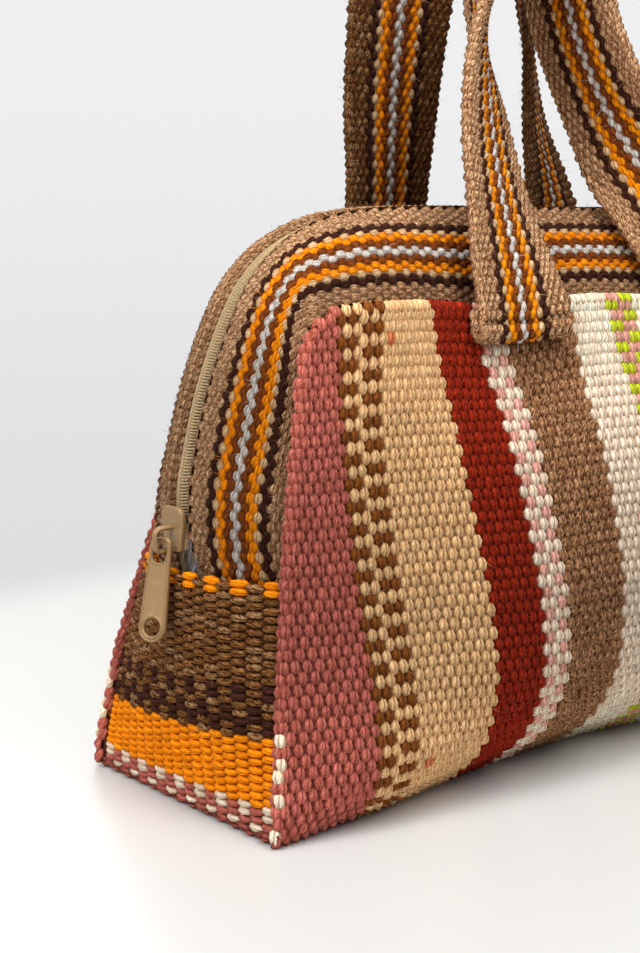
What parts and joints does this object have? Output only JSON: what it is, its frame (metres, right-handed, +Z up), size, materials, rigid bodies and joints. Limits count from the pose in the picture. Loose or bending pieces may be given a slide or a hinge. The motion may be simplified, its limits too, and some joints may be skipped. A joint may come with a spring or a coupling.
{
  "type": "wool handbag",
  "caption": "Small handwoven wool handbag with striped sides, woven ends, a zip top between strap bands and strap handles",
  "frame": {"origin": "middle of the base, on the surface it stands on", "axes": "+X along the length towards the end away from the slider, -Y out of the front, +Z up"},
  "size_m": [0.2683, 0.101, 0.258],
  "materials": {
    "striped_cloth": "coarse warp-faced wool, striped",
    "end_cloth": "coarse wool, brown and orange",
    "strap_weave": "coarse wool strap, striped",
    "zip_tape": "fine woven tape",
    "zip_coil": "nylon coil",
    "slider_paint": "worn khaki paint, satin"
  },
  "bodies": {
    "bag": {"front_panel": "striped_cloth", "back_panel": "striped_cloth", "base_panel": "striped_cloth", "left_gusset": "end_cloth", "right_gusset": "end_cloth", "front_band": "strap_weave", "back_band": "strap_weave", "front_tape": "zip_tape", "back_tape": "zip_tape", "zip_coil": "zip_coil", "zip_slider": "slider_paint", "front_handle": "strap_weave", "back_handle": "strap_weave"},
    "pull": {"zip_pull": "slider_paint"}
  },
  "joints": [
    {"name": "pull_swing", "type": "hinge", "parent": "bag", "child": "pull", "pos_m": [-0.13113, 0, 0.07133], "axis": [-0.4384, 0.8988, -0.004], "range_deg": [0, 145]}
  ]
}
